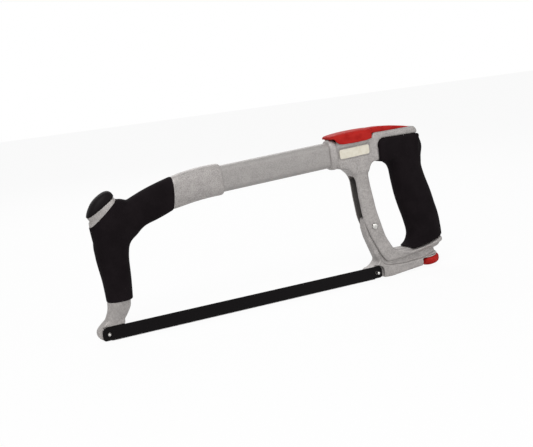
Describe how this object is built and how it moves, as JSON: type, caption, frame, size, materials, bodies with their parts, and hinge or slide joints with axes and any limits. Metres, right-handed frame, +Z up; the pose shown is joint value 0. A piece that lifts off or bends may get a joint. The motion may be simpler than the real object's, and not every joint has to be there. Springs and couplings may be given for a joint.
{
  "type": "hacksaw",
  "caption": "Hand hacksaw with a tube frame, a closed rear handle, a front grip and a quick-release lever that tensions the blade.",
  "frame": {"origin": "middle of the bounding box's bottom face, on the ground plane under the standing saw", "axes": "+X along the blade from the front grip to the rear handle, +Y to the side away from the blade, +Z up, teeth down"},
  "size_m": [0.3986, 0.0284, 0.1637],
  "materials": {
    "cast_silver": "satin grey cast surface",
    "tube_silver": "satin grey paint on steel tube",
    "black_rubber": "matte",
    "red_plastic": "semi-gloss",
    "bright_steel": "bright",
    "dark_steel": "oiled",
    "brass": "plain",
    "blade_black": "satin black paint on steel",
    "plate_cream": "satin"
  },
  "bodies": {
    "frame": {"front_handle": "cast_silver", "front_grip": "black_rubber", "knob_cap": "black_rubber", "frame_tube": "tube_silver", "front_tube_pin": "bright_steel", "rear_tube_pin": "bright_steel", "rear_handle": "cast_silver", "rear_grip": "black_rubber", "name_plate": "plate_cream", "rod_bush": "brass", "arm_pivot_pin": "bright_steel", "pivot_pin_clip": "dark_steel", "front_blade_pin": "bright_steel"},
    "lever": {"tension_lever": "red_plastic", "lever_shaft": "bright_steel"},
    "rod": {"tension_rod": "bright_steel"},
    "arm": {"tension_arm": "cast_silver", "rear_blade_pin": "bright_steel"},
    "washer": {"knob_washer": "bright_steel"},
    "knob": {"tension_knob": "red_plastic", "knob_insert": "brass"},
    "blade": {"blade": "blade_black"}
  },
  "joints": [
    {"name": "lever_fold", "type": "hinge", "parent": "frame", "child": "lever", "pos_m": [0.15737, 0, 0.14845], "axis": [0, 1, 0], "range_deg": [0, 85]},
    {"name": "rod_slide", "type": "slide", "parent": "frame", "child": "rod", "axis": [-0.1797, 0, 0.9837], "range_m": [-0.0014, 0]},
    {"name": "arm_swing", "type": "hinge", "parent": "frame", "child": "arm", "pos_m": [0.11137, 0, 0.05855], "axis": [0, 1, 0], "range_deg": [0, 0.7]},
    {"name": "washer_slide", "type": "slide", "parent": "rod", "child": "washer", "axis": [-0.1797, 0, 0.9837], "range_m": [-0.0016, 0]},
    {"name": "knob_turn", "type": "hinge", "parent": "washer", "child": "knob", "pos_m": [0.18307, 0, 0.00775], "axis": [0.1797, 0, -0.9837], "range_deg": [0, 720]},
    {"name": "blade_lift_off", "type": "slide", "parent": "frame", "child": "blade", "axis": [0, -1, 0], "range_m": [0, 0.012]}
  ],
  "couplings": [
    {"joint": "rod_slide", "follows": "lever_fold", "m_per_rad": -0.0009436},
    {"joint": "arm_swing", "follows": "lever_fold", "ratio": 0.0082345},
    {"joint": "washer_slide", "follows": "knob_turn", "m_per_rad": -0.00012731}
  ]
}
